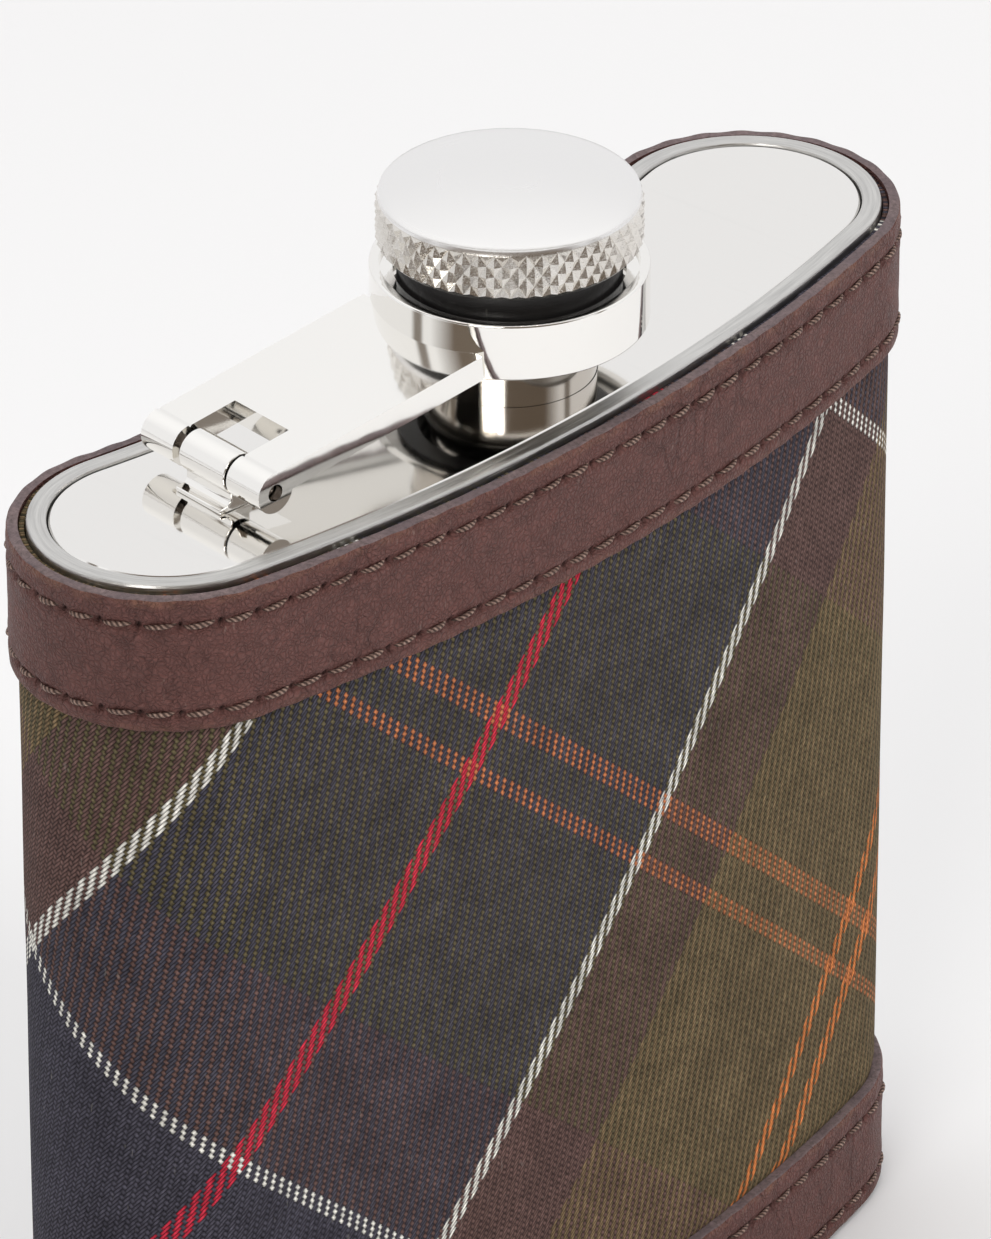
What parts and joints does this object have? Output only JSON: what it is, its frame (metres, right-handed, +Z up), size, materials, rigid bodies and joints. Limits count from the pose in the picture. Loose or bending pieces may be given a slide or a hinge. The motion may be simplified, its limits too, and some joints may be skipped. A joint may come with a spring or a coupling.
{
  "type": "hip flask",
  "caption": "Curved steel hip flask with a captive screw cap on a hinged arm, wrapped in tartan cloth between two stitched leather bands.",
  "frame": {"origin": "middle of the flat base, on the plane the flask stands on", "axes": "+Z up towards the cap, +X along the width away from the hinge, and the convex face looks along -Y"},
  "size_m": [0.0954, 0.0293, 0.1122],
  "materials": {
    "polished_steel": "mirror polished stainless steel",
    "brushed_steel": "fine brushed stainless steel",
    "satin_knob_steel": "diamond knurled rim and a softly polished crown",
    "black_moulding": "satin black moulding",
    "seal_rubber": "matt, food-safe liner",
    "tartan_cloth": "twill-woven tartan laid on the bias, olive and charcoal with red, white and orange lines",
    "brown_leather": "semi-matt grained hide with raw, dark cut edges",
    "waxed_thread": "twisted, waxed beige-brown thread"
  },
  "bodies": {
    "flask": {"body_wall": "brushed_steel", "top_plate": "polished_steel", "bottom_plate": "brushed_steel", "neck": "polished_steel", "hinge_lug": "polished_steel", "hinge_pin": "brushed_steel", "fabric_wrap": "tartan_cloth", "top_band": "brown_leather", "bottom_band": "brown_leather", "top_band_upper_stitching": "waxed_thread", "top_band_lower_stitching": "waxed_thread", "bottom_band_upper_stitching": "waxed_thread", "bottom_band_lower_stitching": "waxed_thread"},
    "arm": {"captive_arm": "polished_steel"},
    "cap_carrier": {"retaining_ring": "brushed_steel"},
    "cap": {"cap_knob": "satin_knob_steel", "cap_insert": "black_moulding", "seal_washer": "seal_rubber"}
  },
  "joints": [
    {"name": "arm_swing", "type": "hinge", "parent": "flask", "child": "arm", "pos_m": [-0.0297, 0.0035, 0.09785], "axis": [-0.1132, -0.9936, 0], "range_deg": [0, 170]},
    {"name": "cap_lift", "type": "slide", "parent": "arm", "child": "cap_carrier", "axis": [0, 0, 1], "range_m": [0, 0.00225]},
    {"name": "cap_turn", "type": "hinge", "parent": "cap_carrier", "child": "cap", "pos_m": [0.001, 0, 0.1042], "axis": [0, 0, 1], "range_deg": [0, 540]}
  ],
  "couplings": [
    {"joint": "cap_lift", "follows": "cap_turn", "m_per_rad": 0.00023873}
  ]
}
